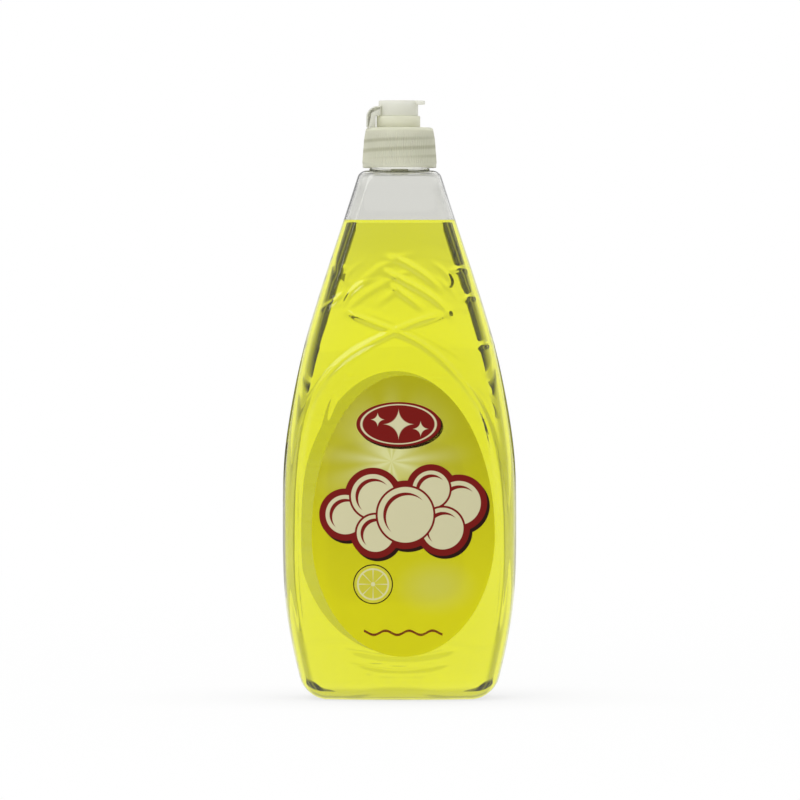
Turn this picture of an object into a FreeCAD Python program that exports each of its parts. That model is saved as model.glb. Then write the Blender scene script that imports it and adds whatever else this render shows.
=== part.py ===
import FreeCAD, Part
import math
import os
import re
import Sketcher
from FreeCAD import Placement, Rotation, Vector

# A 740 ml dish soap bottle: a clear blown bottle with raised swirls on its shoulders,
# its liquid, a front and a back label, a sealing ring, a ribbed screw cap with a spout,
# and a flip lid. Millimetres, +Z up, the front face towards -Y, and the origin under
# the middle of the base.

doc = FreeCAD.newDocument("dish_soap_bottle")
sheet = doc.addObject("Spreadsheet::Sheet", "Dimensions")

# Cross-sections of the bottle from the foot up: name, height, half width, half depth
# and corner radius
LEVELS = (
    ("foot", 0.0, 41.2, 22.4, 10.0),
    ("heel", 18.0, 45.6, 24.6, 10.0),
    ("hip", 40.0, 49.5, 26.1, 10.0),
    ("belly", 76.0, 50.9, 26.6, 10.0),
    ("chest", 104.0, 50.2, 26.1, 10.0),
    ("breast", 128.0, 46.9, 24.7, 9.6),
    ("shoulder", 152.0, 41.8, 22.6, 9.2),
    ("collar", 178.0, 34.2, 19.8, 8.6),
    ("throat", 204.0, 25.7, 17.0, 8.0),
    ("crown", 229.5, 17.4, 15.2, 7.4),
)

DIMENSIONS = {
    # bottle
    "front_bow_radius": 150.0,
    "side_bow_radius": 70.0,
    "bottle_wall": 0.8,
    "base_rounding": 9.0,
    "crown_rounding": 2.6,
    "dome_half_length": 25.0,
    "dome_half_width": 9.5,
    "dome_rise": 3.5,
    # liquid
    "liquid_gap": 0.1,
    "fill_height": 208.4,
    # neck, a 28 mm finish
    "neck_collar_radius": 13.1,
    "neck_collar_height": 1.0,
    "neck_radius": 12.55,
    "neck_bore_radius": 10.9,
    "neck_height": 16.7,
    "neck_lip_chamfer": 0.5,
    "thread_pitch": 4.233,
    "thread_depth": 1.1,
    "thread_root_width": 2.3,
    "thread_crest_width": 1.0,
    "thread_start": 8.5,
    "neck_thread_turns": 1.5,
    "cap_thread_turns": 1.25,
    "thread_clearance": 0.35,
    # sealing ring
    "seal_thickness": 0.8,
    "seal_radius": 13.4,
    "seal_hole_radius": 9.6,
    # screw cap
    "cap_clearance": 1.3,
    "skirt_bottom_radius": 16.1,
    "skirt_draft": 0.077,
    "skirt_bore_radius": 14.0,
    "skirt_mouth_radius": 14.9,
    "skirt_mouth_depth": 2.8,
    "deck_thickness": 1.3,
    "deck_rounding": 1.5,
    "rib_width": 0.5,
    "rib_height": 0.25,
    "rib_count": 96.0,
    "rib_band_bottom": 1.4,
    "rib_band_height": 11.0,
    # spout, off the cap's middle
    "spout_offset": -0.5,
    "plinth_radius": 9.5,
    "plinth_wall": 1.2,
    "plinth_height": 5.0,
    "spout_root_radius": 4.2,
    "spout_tip_radius": 3.7,
    "spout_height": 3.8,
    "spout_hole_radius": 1.75,
    "spout_flare_radius": 2.4,
    "spout_flare_depth": 0.8,
    # flip lid
    "lid_radius": 8.6,
    "lid_wall": 1.0,
    "lid_height": 6.7,
    "lid_roof": 1.6,
    "lid_edge_chamfer": 0.4,
    "tab_reach": 3.0,
    "tab_width": 9.0,
    "tab_thickness": 1.7,
    "tab_rounding": 2.5,
    "stopper_root_radius": 2.2,
    "stopper_tip_radius": 1.2,
    "stopper_reach": 1.4,
    "hinge_distance": 14.1,
    "hinge_height": 0.45,
    "hinge_leaf": 0.35,
    "arm_width": 12.0,
    "arm_height": 9.3,
    "arm_rounding": 5.0,
    "arm_wall": 1.0,
    "arm_clearance": 0.4,
    # labels
    "label_gap": 0.05,
    "label_thickness": 0.2,
    "label_half_width": 39.6,
    "label_shift": 1.6,
    "label_waist": 72.0,
    "label_upper_reach": 69.0,
    "label_lower_reach": 52.4,
    # raised swirls
    "swirl_radius": 4.0,
    "swirl_height": 0.7,
    "swirl_fade": 1.2,
}

# The raised swirls on the front, each a line of points across and up the face: two sweeps
# that cross above the label and frame it, leaves above them, and two arcs below it
SWIRLS = (
    ("left_sweep", (
        (-25.9, 169.5), (-8.5, 162.4), (8.9, 154.8), (24.2, 141.7), (35.1, 126.5),
        (41.5, 106.0), (44.6, 75.0), (43.8, 46.2), (40.5, 24.0),
    )),
    ("right_sweep", (
        (23.1, 169.0), (4.6, 163.0), (-10.7, 155.9), (-24.8, 147.2), (-35.7, 134.1),
        (-42.2, 112.4), (-45.0, 75.0), (-44.0, 46.2), (-40.5, 24.0),
    )),
    ("long_leaf", ((-11.8, 188.6), (-0.9, 183.1), (10.0, 177.2), (17.6, 171.6), (24.5, 163.0))),
    ("crest_leaf", ((-9.6, 192.9), (-0.9, 190.8), (6.7, 186.9), (13.3, 182.0), (19.8, 175.5))),
    ("lower_leaf", ((-7.0, 183.0), (-0.9, 177.9), (5.5, 173.0), (12.2, 167.5))),
    ("upper_smile", ((-27.7, 22.0), (-14.0, 18.4), (1.0, 17.0), (16.0, 18.4), (29.7, 22.0))),
    ("lower_smile", ((-24.8, 16.8), (-12.0, 12.8), (1.0, 11.6), (14.0, 12.8), (26.8, 16.8))),
)

for name, height, half_width, half_depth, corner in LEVELS:
    DIMENSIONS[name + "_height"] = height
    DIMENSIONS[name + "_half_width"] = half_width
    DIMENSIONS[name + "_half_depth"] = half_depth
    DIMENSIONS[name + "_corner"] = corner

for row, (alias, value) in enumerate(DIMENSIONS.items(), start=1):
    sheet.set("A%d" % row, alias)
    sheet.set("B%d" % row, str(value))
    sheet.setAlias("B%d" % row, alias)
doc.recompute()


def size(alias):
    return float(sheet.get(alias))


def bind(thing, prop, formula):
    """Bind a property to a sum or product in which every word is an alias of the sheet."""
    thing.setExpression(prop, re.sub("[a-z_]+", r"Dimensions.\g<0>", formula))


def amount(formula):
    """The present value of such a formula."""
    total = 0.0
    for term in formula.replace("- ", "+ -").split("+"):
        product = 1.0
        for factor in term.split("*"):
            word = factor.strip().lstrip("-")
            number = size(word) if word[0].isalpha() else float(word)
            product *= -number if factor.strip().startswith("-") else number
        total += product
    return total


def make_body(name):
    return doc.addObject("PartDesign::Body", name)


def feature(body, kind, name, **properties):
    """Add a feature to a body; a text value of a size is bound to the sheet."""
    thing = body.newObject("PartDesign::" + kind, name)
    for prop, setting in properties.items():
        if isinstance(setting, str):
            bind(thing, prop, setting)
        else:
            setattr(thing, prop, setting)
    body.Tip = thing
    return thing


def sketch_on(body, name, role):
    """A sketch on one of the body's own origin planes."""
    sketch = body.newObject("Sketcher::SketchObject", name)
    plane = [part for part in body.Origin.OriginFeatures if part.Role == role][0]
    sketch.AttachmentSupport = [(plane, "")]
    sketch.MapMode = "FlatFace"
    return sketch


def dimension(sketch, name, formula, *where):
    """Add a dimension to a sketch and bind it to the sheet."""
    index = sketch.addConstraint(Sketcher.Constraint(*where, amount(formula)))
    sketch.renameConstraint(index, name)
    bind(sketch, "Constraints." + name, formula)


def outline(sketch, corners):
    """Draw a closed outline of straight lines; each corner is a pair of formulas."""
    points = [Vector(amount(across), amount(up), 0) for across, up in corners]
    count = len(points)
    for i in range(count):
        sketch.addGeometry(Part.LineSegment(points[i], points[(i + 1) % count]), False)
    for i in range(count):
        sketch.addConstraint(Sketcher.Constraint("Coincident", i, 2, (i + 1) % count, 1))
    for i, (across, up) in enumerate(corners):
        dimension(sketch, "across_" + "abcdefghijklmnop"[i], across, "DistanceX", -1, 1, i, 1)
        dimension(sketch, "up_" + "abcdefghijklmnop"[i], up, "DistanceY", -1, 1, i, 1)


def circle(sketch, radius, across="0"):
    """Draw a circle whose centre is on the sketch's first axis."""
    sketch.addGeometry(Part.Circle(Vector(amount(across), 0, 0), Vector(0, 0, 1), amount(radius)), False)
    sketch.addConstraint(Sketcher.Constraint("PointOnObject", 0, 3, -1))
    dimension(sketch, "centre", across, "DistanceX", -1, 1, 0, 3)
    dimension(sketch, "radius", radius, "Radius", 0)


def round_edges(body, kind, name, amount_formula, wanted):
    """Fillet or chamfer those edges of the body's tip that a test picks."""
    doc.recompute()
    tip = body.Tip
    picked = ["Edge%d" % (i + 1) for i, edge in enumerate(tip.Shape.Edges) if wanted(edge)]
    prop = "Radius" if kind == "Fillet" else "Size"
    return feature(body, kind, name, Base=(tip, picked), **{prop: amount_formula})


def ring_at(height, radius):
    """A test for round edges of about this radius at this height."""
    level = amount(height)
    reach = amount(radius)

    def wanted(edge):
        box = edge.BoundBox
        flat = abs(box.ZMin - level) < 0.01 and abs(box.ZMax - level) < 0.01
        return flat and hasattr(edge.Curve, "Radius") and abs(edge.Curve.Radius - reach) < 0.01

    return wanted


def flat_at(height):
    """A test for edges that lie flat at this height."""
    level = amount(height)
    return lambda edge: abs(edge.BoundBox.ZMin - level) < 0.01 and abs(edge.BoundBox.ZMax - level) < 0.01


def section(body, level, inset, height):
    """A cross-section of the bottle: four bowed sides joined by tangent corner arcs."""
    half_width = level + "_half_width" + inset
    half_depth = level + "_half_depth" + inset
    side_radius = "side_bow_radius" + inset
    front_radius = "front_bow_radius" + inset
    corner_radius = level + "_corner" + inset
    sketch = sketch_on(body, body.Name + "_" + level, "XY_Plane")
    bind(sketch, "AttachmentOffset.Base.z", height)

    side = amount(side_radius)
    front = amount(front_radius)
    corner = amount(corner_radius)
    side_centre = Vector(amount(half_width) - side, 0, 0)
    front_centre = Vector(0, front - amount(half_depth), 0)
    to_side = side - corner
    to_front = front - corner
    # the corner's centre is where two circles about those centres cross
    between = front_centre - side_centre
    reach = between.Length
    shift = (to_side ** 2 - to_front ** 2 + reach ** 2) / (2 * reach)
    rise = math.sqrt(to_side ** 2 - shift ** 2)
    forward = between / reach
    sideways = Vector(forward.y, -forward.x, 0)
    centre = side_centre + forward * shift + sideways * rise
    if centre.y > 0:
        centre = side_centre + forward * shift - sideways * rise
    side_end = math.atan2(abs(centre.y - side_centre.y), centre.x - side_centre.x)
    front_end = math.atan2(abs(centre.y - front_centre.y), centre.x - front_centre.x)

    up = Vector(0, 0, 1)

    def arc(middle, radius, start, stop):
        sketch.addGeometry(Part.ArcOfCircle(Part.Circle(middle, up, radius), start, stop), False)

    half_turn = math.pi
    arc(side_centre, side, -side_end, side_end)
    arc(Vector(centre.x, -centre.y, 0), corner, side_end, front_end)
    arc(-front_centre, front, front_end, half_turn - front_end)
    arc(-centre, corner, half_turn - front_end, half_turn - side_end)
    arc(-side_centre, side, half_turn - side_end, half_turn + side_end)
    arc(Vector(-centre.x, centre.y, 0), corner, half_turn + side_end, half_turn + front_end)
    arc(front_centre, front, half_turn + front_end, 2 * half_turn - front_end)
    arc(centre, corner, 2 * half_turn - front_end, 2 * half_turn - side_end)
    for i in range(8):
        sketch.addConstraint(Sketcher.Constraint("Tangent", i, 2, (i + 1) % 8, 1))
    for i, axis in ((0, -1), (4, -1), (2, -2), (6, -2)):
        sketch.addConstraint(Sketcher.Constraint("PointOnObject", i, 3, axis))
    side_reach = "side_bow_radius - " + level + "_half_width"
    front_reach = "front_bow_radius - " + level + "_half_depth"
    dimension(sketch, "right_centre", side_reach, "DistanceX", 0, 3, -1, 1)
    dimension(sketch, "left_centre", side_reach, "DistanceX", -1, 1, 4, 3)
    dimension(sketch, "back_centre", front_reach, "DistanceY", 2, 3, -1, 1)
    dimension(sketch, "front_centre", front_reach, "DistanceY", -1, 1, 6, 3)
    dimension(sketch, "side_radius", side_radius, "Radius", 0)
    sketch.addConstraint(Sketcher.Constraint("Equal", 0, 4))
    dimension(sketch, "front_radius", front_radius, "Radius", 6)
    sketch.addConstraint(Sketcher.Constraint("Equal", 6, 2))
    dimension(sketch, "corner_radius", corner_radius, "Radius", 7)
    for i in (1, 3, 5):
        sketch.addConstraint(Sketcher.Constraint("Equal", 7, i))
    return sketch


def bottle_form(name, inset, floor, roof):
    """The bottle's form from a floor to a roof height, grown or drawn in by an inset."""
    body = make_body(name)
    heights = [level[0] + "_height" for level in LEVELS]
    heights[0] = floor
    heights[-1] = roof
    sketches = [section(body, level[0], inset, height) for level, height in zip(LEVELS, heights)]
    sketches.reverse()
    feature(body, "AdditiveLoft", name + "_loft", Profile=sketches[0], Sections=sketches[1:])
    return body


def round_form(body, inset, floor, roof):
    """Round the base edge and the crown edge of such a form."""
    round_edges(body, "Fillet", body.Name + "_heel_fillet", "base_rounding" + inset, flat_at(floor))
    round_edges(body, "Fillet", body.Name + "_crown_fillet", "crown_rounding" + inset, flat_at(roof))


def part(kind, name, **properties):
    """Add a primitive or a boolean; a text value of a size is bound to the sheet."""
    thing = doc.addObject("Part::" + kind, name)
    for prop, setting in properties.items():
        if isinstance(setting, str):
            bind(thing, prop, setting)
        else:
            setattr(thing, prop, setting)
    return thing


def place(thing, **axes):
    """Bind the place of a primitive, axis by axis."""
    for axis, formula in axes.items():
        bind(thing, "Placement.Base." + axis, formula)
    return thing


# Heights that several pieces share
CROWN = "crown_height"
NECK_TOP = CROWN + " + neck_height"
DECK_UNDER = NECK_TOP + " + seal_thickness"
DECK = DECK_UNDER + " + deck_thickness"
PLINTH_TOP = DECK + " + plinth_height"
SPOUT_TOP = PLINTH_TOP + " + spout_height"
LID_TOP = PLINTH_TOP + " + lid_height"
SKIRT_FOOT = CROWN + " + cap_clearance"
SKIRT_TOP_RADIUS = (
    "skirt_bottom_radius - skirt_draft * neck_height - skirt_draft * seal_thickness"
    " - skirt_draft * deck_thickness + skirt_draft * cap_clearance"
)
FLOOR = "foot_height + bottle_wall"
WALL = " - bottle_wall"


def dome(name, growth):
    """The pushed-up middle of the base, grown by a wall."""
    rise = "dome_rise" + growth
    length = "dome_half_length" + growth
    width = "dome_half_width" + growth
    return part("Ellipsoid", name, Radius1=rise, Radius2=length, Radius3=width)


# Bottle: the outer form with its swirls and its neck, less the cavity and the bore
outer = bottle_form("outer_form", "", "foot_height", CROWN)
round_form(outer, "", "foot_height", CROWN)
cavity_form = bottle_form("cavity_form", WALL, FLOOR, CROWN + WALL)
round_form(cavity_form, WALL, FLOOR, CROWN + WALL)
doc.recompute()


def swirl(name, points, turned):
    """A rounded ridge laid along the face, fading into it at both ends."""
    radius = size("swirl_radius")
    skin = outer.Shape
    route = []
    for i, (across, up) in enumerate(points):
        ray = Part.makeLine(Vector(across, -size("belly_half_depth") * 2, up), Vector(across, 0, up))
        hit = min((vertex.Point for vertex in skin.common(ray).Vertexes), key=lambda spot: spot.y)
        near = Part.Vertex(hit)
        face = min(skin.Faces, key=lambda side: side.distToShape(near)[0])
        outward = face.normalAt(*face.Surface.parameter(hit))
        proud = -size("swirl_fade") if i in (0, len(points) - 1) else size("swirl_height")
        route.append(hit - outward * (radius - proud))
    spine = Part.BSplineCurve()
    spine.interpolate(route)
    start = spine.tangent(spine.FirstParameter)[0]
    ring = Part.Wire([Part.Circle(route[0], start, radius).toShape()])
    ridge = Part.Wire([spine.toShape()]).makePipeShell([ring], True, False)
    if turned:
        ridge.rotate(Vector(0, 0, 0), Vector(0, 0, 1), 180)
    thing = doc.addObject("Part::Feature", name)
    thing.Shape = ridge
    return thing


swirls = []
for name, points in SWIRLS:
    swirls.append(swirl("front_" + name, points, False))
    swirls.append(swirl("back_" + name, points, True))

neck = make_body("neck")
neck_profile = sketch_on(neck, "neck_profile", "XZ_Plane")
outline(neck_profile, (
    ("0", CROWN + " - crown_rounding"),
    ("neck_collar_radius", CROWN + " - crown_rounding"),
    ("neck_collar_radius", CROWN + " + neck_collar_height"),
    ("neck_radius", CROWN + " + neck_collar_height"),
    ("neck_radius", NECK_TOP + " - neck_lip_chamfer"),
    ("neck_radius - neck_lip_chamfer", NECK_TOP),
    ("0", NECK_TOP),
))
feature(neck, "Revolution", "neck_turned", Profile=neck_profile, ReferenceAxis=(neck_profile, ["V_Axis"]))


def thread(body, name, root, crest, sunk, height, turns):
    """A right-hand trapezoid thread, its root sunk a little into the wall."""
    profile = sketch_on(body, name + "_profile", "XZ_Plane")
    outline(profile, (
        (root + sunk, height + " - 0.5 * thread_root_width"),
        (crest, height + " - 0.5 * thread_crest_width"),
        (crest, height + " + 0.5 * thread_crest_width"),
        (root + sunk, height + " + 0.5 * thread_root_width"),
    ))
    helix = feature(body, "AdditiveHelix", name, Profile=profile, ReferenceAxis=(profile, ["V_Axis"]))
    helix.Mode = 1
    bind(helix, "Pitch", "thread_pitch")
    bind(helix, "Turns", turns)
    return helix


NECK_THREAD = CROWN + " + thread_start"
thread(neck, "neck_thread", "neck_radius", "neck_radius + thread_depth", " - 0.2",
       NECK_THREAD, "neck_thread_turns")

outside = part("MultiFuse", "bottle_outside", Shapes=[outer, neck] + swirls)
base_push_up = dome("base_push_up", "")
inner_push_up = dome("inner_push_up", " + bottle_wall")
cavity = part("Cut", "cavity", Base=cavity_form, Tool=inner_push_up)
bore = part("Cylinder", "neck_bore", Radius="neck_bore_radius")
bind(bore, "Height", "neck_height + crown_rounding + bottle_wall + 1")
place(bore, z=CROWN + " - crown_rounding - bottle_wall")
inside = part("MultiFuse", "bottle_inside", Shapes=[cavity, bore, base_push_up])
bottle = part("Cut", "bottle", Base=outside, Tool=inside)

# Liquid up to the fill line
LIQUID = WALL + " - liquid_gap"
LIQUID_FLOOR = FLOOR + " + liquid_gap"
liquid_form = bottle_form("liquid_form", LIQUID, LIQUID_FLOOR, CROWN + LIQUID)
round_form(liquid_form, LIQUID, LIQUID_FLOOR, CROWN + LIQUID)
liquid_push_up = dome("liquid_push_up", " + bottle_wall + liquid_gap")
headspace = part("Box", "headspace", Length="3 * belly_half_width", Width="3 * belly_half_width")
bind(headspace, "Height", CROWN)
place(headspace, x="-1.5 * belly_half_width", y="-1.5 * belly_half_width", z="fill_height")
not_liquid = part("MultiFuse", "not_liquid", Shapes=[liquid_push_up, headspace])
detergent = part("Cut", "detergent", Base=liquid_form, Tool=not_liquid)


# Labels: a thin skin on the bottle's form, cut to an egg-shaped outline
skin_outer = bottle_form("skin_outer", " + label_gap + label_thickness", "foot_height", CROWN)
skin_inner = bottle_form("skin_inner", " + label_gap", "foot_height", CROWN)
skin = part("Cut", "label_skin", Base=skin_outer, Tool=skin_inner)


def label(name, shift, side):
    """A label: the egg is two half ellipses that share their widest level."""
    halves = []
    for half, reach in (("upper", "label_upper_reach"), ("lower", "label_lower_reach")):
        oval = part("Ellipse", name + "_" + half + "_oval", MinorRadius="label_half_width")
        bind(oval, "MajorRadius", reach)
        upright = Rotation(Vector(0, 0, 1), Vector(-1, 0, 0), Vector(0, -1, 0), "ZXY")
        oval.Placement = Placement(Vector(0, 0, 0), upright)
        place(oval, x=shift, z="label_waist")
        bar = part("Extrusion", name + "_" + half + "_bar", Base=oval, Solid=True)
        bar.DirMode = "Custom"
        bar.Dir = Vector(0, side, 0)
        bind(bar, "LengthFwd", "2 * belly_half_depth")
        halves.append(bar)
    below = part("Box", name + "_below", Length="3 * label_half_width", Width="8 * belly_half_depth")
    bind(below, "Height", "label_waist + label_lower_reach")
    place(below, x="-1.5 * label_half_width", y="-4 * belly_half_depth", z="-1 * label_lower_reach")
    top = part("Cut", name + "_top", Base=halves[0], Tool=below)
    egg = part("MultiFuse", name + "_egg", Shapes=[top, halves[1]])
    return part("Common", name, Base=skin, Tool=egg)


front_label = label("front_label", "label_shift", -1)
back_label = label("back_label", "-1 * label_shift", 1)

# Sealing ring between the neck's lip and the cap
seal_disc = part("Cylinder", "seal_disc", Radius="seal_radius", Height="seal_thickness")
place(seal_disc, z=NECK_TOP)
seal_hole = part("Cylinder", "seal_hole", Radius="seal_hole_radius", Height="2 * seal_thickness")
place(seal_hole, z=NECK_TOP + " - 0.5 * seal_thickness")
seal = part("Cut", "seal_liner", Base=seal_disc, Tool=seal_hole)

# Screw cap: skirt and deck
cap = make_body("cap_body")
skirt_profile = sketch_on(cap, "skirt_profile", "XZ_Plane")
MOUTH_TOP = SKIRT_FOOT + " + skirt_mouth_depth"
outline(skirt_profile, (
    ("skirt_mouth_radius", SKIRT_FOOT),
    ("skirt_bottom_radius", SKIRT_FOOT),
    (SKIRT_TOP_RADIUS, DECK),
    ("plinth_radius - 2 * plinth_wall", DECK),
    ("plinth_radius - 2 * plinth_wall", DECK_UNDER),
    ("skirt_bore_radius", DECK_UNDER),
    ("skirt_bore_radius", MOUTH_TOP),
    ("skirt_mouth_radius", MOUTH_TOP + " - skirt_mouth_radius + skirt_bore_radius"),
))
feature(cap, "Revolution", "skirt", Profile=skirt_profile, ReferenceAxis=(skirt_profile, ["V_Axis"]))
round_edges(cap, "Fillet", "deck_fillet", "deck_rounding", ring_at(DECK, SKIRT_TOP_RADIUS))

# Screw cap: hollow plinth and spout, turned about their own axis
spout_profile = sketch_on(cap, "spout_profile", "XZ_Plane")
HOLLOW = "spout_offset + plinth_radius - plinth_wall"
outline(spout_profile, (
    (HOLLOW, DECK_UNDER),
    ("spout_offset + plinth_radius", DECK_UNDER),
    ("spout_offset + plinth_radius", PLINTH_TOP),
    ("spout_offset + spout_root_radius", PLINTH_TOP),
    ("spout_offset + spout_tip_radius", SPOUT_TOP),
    ("spout_offset + spout_flare_radius", SPOUT_TOP),
    ("spout_offset + spout_hole_radius", SPOUT_TOP + " - spout_flare_depth"),
    ("spout_offset + spout_hole_radius", PLINTH_TOP + " - plinth_wall"),
    (HOLLOW, PLINTH_TOP + " - plinth_wall"),
))


def turning_axis(sketch, edges, across):
    """An upright construction line that the profile turns about."""
    foot = Vector(amount(across), 0, 0)
    sketch.addGeometry(Part.LineSegment(foot, foot + Vector(0, 1, 0)), True)
    sketch.addConstraint(Sketcher.Constraint("Vertical", edges))
    sketch.addConstraint(Sketcher.Constraint("PointOnObject", edges, 1, -1))
    dimension(sketch, "axis_place", across, "DistanceX", -1, 1, edges, 1)
    dimension(sketch, "axis_length", "thread_pitch", "DistanceY", edges, 1, edges, 2)
    return (sketch, ["Axis0"])


spout_axis = turning_axis(spout_profile, 9, "spout_offset")
feature(cap, "Revolution", "spout", Profile=spout_profile, ReferenceAxis=spout_axis)
deck_hole = sketch_on(cap, "deck_hole", "XY_Plane")
circle(deck_hole, "plinth_radius - plinth_wall", "spout_offset")
bind(deck_hole, "AttachmentOffset.Base.z", DECK_UNDER + " - seal_thickness")
OPENING_DEPTH = "seal_thickness + deck_thickness + plinth_wall"
feature(cap, "Pocket", "deck_opening", Profile=deck_hole, Reversed=True, Length=OPENING_DEPTH)

# Screw cap: thread, half a pitch below the neck's
thread(cap, "cap_thread", "skirt_bore_radius", "neck_radius + thread_clearance", " + 0.2",
       NECK_THREAD + " - 0.5 * thread_pitch", "cap_thread_turns")

# Screw cap: ribbed band
rib_profile = sketch_on(cap, "rib_profile", "XZ_Plane")
RIB_FOOT = SKIRT_FOOT + " + rib_band_bottom"
RIB_TOP = RIB_FOOT + " + rib_band_height"
RIB_FOOT_RADIUS = "skirt_bottom_radius - skirt_draft * rib_band_bottom"
RIB_TOP_RADIUS = RIB_FOOT_RADIUS + " - skirt_draft * rib_band_height"
outline(rib_profile, (
    (RIB_FOOT_RADIUS + " - rib_height", RIB_FOOT),
    (RIB_FOOT_RADIUS + " + rib_height", RIB_FOOT),
    (RIB_TOP_RADIUS + " + rib_height", RIB_TOP),
    (RIB_TOP_RADIUS + " - rib_height", RIB_TOP),
))
rib = feature(cap, "Pad", "rib", Profile=rib_profile, Length="rib_width", Midplane=True)
doc.recompute()
rib_axis = (rib_profile, ["V_Axis"])
feature(cap, "PolarPattern", "ribs", Originals=[rib], Axis=rib_axis, Occurrences="rib_count")

# Flip lid: the hinge arm behind the plinth
lid = make_body("flip_lid")
ARM_OUTER = "-1 * hinge_distance - hinge_leaf"
ARM_INNER = "spout_offset - plinth_radius - arm_clearance"
ARM_TOP = DECK + " + arm_height"
HINGE = DECK + " + hinge_height"
arm_profile = sketch_on(lid, "arm_profile", "XZ_Plane")
outline(arm_profile, (
    (ARM_OUTER, HINGE),
    (ARM_OUTER, ARM_TOP),
    ("spout_offset", ARM_TOP),
    ("spout_offset", PLINTH_TOP),
    (ARM_INNER, PLINTH_TOP),
    (ARM_INNER, HINGE + " - hinge_leaf"),
    ("-1 * hinge_distance", HINGE + " - hinge_leaf"),
))
feature(lid, "Pad", "arm", Profile=arm_profile, Length="arm_width", Midplane=True)


def arm_corner(edge):
    box = edge.BoundBox
    back = abs(box.XMax - amount(ARM_OUTER)) < 0.01
    return back and abs(box.ZMin - amount(ARM_TOP)) < 0.01


round_edges(lid, "Fillet", "arm_fillet", "arm_rounding", arm_corner)

# Flip lid: the cup over the spout, turned solid, then hollowed around its stopper
cup_profile = sketch_on(lid, "cup_profile", "XZ_Plane")
outline(cup_profile, (
    ("spout_offset", PLINTH_TOP),
    ("spout_offset + lid_radius", PLINTH_TOP),
    ("spout_offset + lid_radius", LID_TOP + " - lid_edge_chamfer"),
    ("spout_offset + lid_radius - lid_edge_chamfer", LID_TOP),
    ("spout_offset", LID_TOP),
))
cup_axis = turning_axis(cup_profile, 5, "spout_offset")
feature(lid, "Revolution", "cup", Profile=cup_profile, ReferenceAxis=cup_axis)
tab_profile = sketch_on(lid, "tab_profile", "XY_Plane")
bind(tab_profile, "AttachmentOffset.Base.z", LID_TOP + " - tab_thickness")
TAB_TIP = "spout_offset + lid_radius + tab_reach"
outline(tab_profile, (
    ("spout_offset", "-0.5 * tab_width"),
    (TAB_TIP, "-0.5 * tab_width"),
    (TAB_TIP, "0.5 * tab_width"),
    ("spout_offset", "0.5 * tab_width"),
))
feature(lid, "Pad", "tab", Profile=tab_profile, Length="tab_thickness")


def tab_corner(edge):
    box = edge.BoundBox
    return abs(box.XMin - amount(TAB_TIP)) < 0.01 and box.ZLength > 1 and box.YLength < 0.01


round_edges(lid, "Fillet", "tab_fillet", "tab_rounding", tab_corner)
hollow_profile = sketch_on(lid, "hollow_profile", "XZ_Plane")
outline(hollow_profile, (
    ("spout_offset", PLINTH_TOP),
    ("spout_offset + lid_radius - lid_wall", PLINTH_TOP),
    ("spout_offset + lid_radius - lid_wall", LID_TOP + " - lid_roof"),
    ("spout_offset + stopper_root_radius", LID_TOP + " - lid_roof"),
    ("spout_offset + stopper_tip_radius", SPOUT_TOP + " - stopper_reach"),
    ("spout_offset", SPOUT_TOP + " - stopper_reach"),
))
hollow_axis = turning_axis(hollow_profile, 6, "spout_offset")
feature(lid, "Groove", "cup_hollow", Profile=hollow_profile, ReferenceAxis=hollow_axis)
arm_hollow_profile = sketch_on(lid, "arm_hollow_profile", "XZ_Plane")
ARM_HOLLOW_BACK = ARM_OUTER + " + arm_wall"
ARM_HOLLOW_FRONT = ARM_INNER + " - arm_wall"
ARM_SHOULDER = ARM_TOP + " - arm_rounding"
outline(arm_hollow_profile, (
    (ARM_HOLLOW_BACK, DECK),
    (ARM_HOLLOW_BACK, ARM_SHOULDER),
    (ARM_HOLLOW_FRONT, ARM_SHOULDER + " + 0.5 * arm_rounding"),
    (ARM_HOLLOW_FRONT, DECK),
))
ARM_HOLLOW_WIDTH = "arm_width - 2 * arm_wall"
feature(lid, "Pocket", "arm_hollow", Profile=arm_hollow_profile, Length=ARM_HOLLOW_WIDTH, Midplane=True)

doc.recompute()
for thing in doc.Objects:
    state = set(thing.State)
    if state & {"Invalid", "Error"}:
        raise RuntimeError("%s did not build: %s" % (thing.Name, ", ".join(sorted(state))))

os.makedirs("parts", exist_ok=True)
for piece in (bottle, detergent, front_label, back_label, seal, cap, lid):
    piece.Label = piece.Name
    if piece.Shape.isNull() or not piece.Shape.isValid():
        raise RuntimeError(piece.Label + " is not a sound solid")
    piece.Shape.exportStep("parts/" + piece.Label + ".step")
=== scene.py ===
import math

import bpy
import numpy as np
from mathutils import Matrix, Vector


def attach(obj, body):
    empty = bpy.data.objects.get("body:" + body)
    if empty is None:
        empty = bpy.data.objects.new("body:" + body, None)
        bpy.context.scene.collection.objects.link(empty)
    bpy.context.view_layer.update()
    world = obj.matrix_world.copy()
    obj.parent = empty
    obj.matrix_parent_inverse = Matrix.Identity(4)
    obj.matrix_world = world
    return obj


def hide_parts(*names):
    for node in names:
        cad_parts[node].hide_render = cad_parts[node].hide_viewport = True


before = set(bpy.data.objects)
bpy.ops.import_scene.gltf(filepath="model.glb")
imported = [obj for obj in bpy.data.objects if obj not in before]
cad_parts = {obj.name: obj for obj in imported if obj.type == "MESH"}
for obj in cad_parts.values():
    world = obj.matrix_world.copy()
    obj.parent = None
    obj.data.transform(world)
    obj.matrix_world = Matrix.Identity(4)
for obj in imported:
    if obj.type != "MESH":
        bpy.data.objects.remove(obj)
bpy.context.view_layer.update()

# A dish soap bottle in metres, as the frame has it: +Z up, the front face towards -Y.
MM = 0.001

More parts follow.
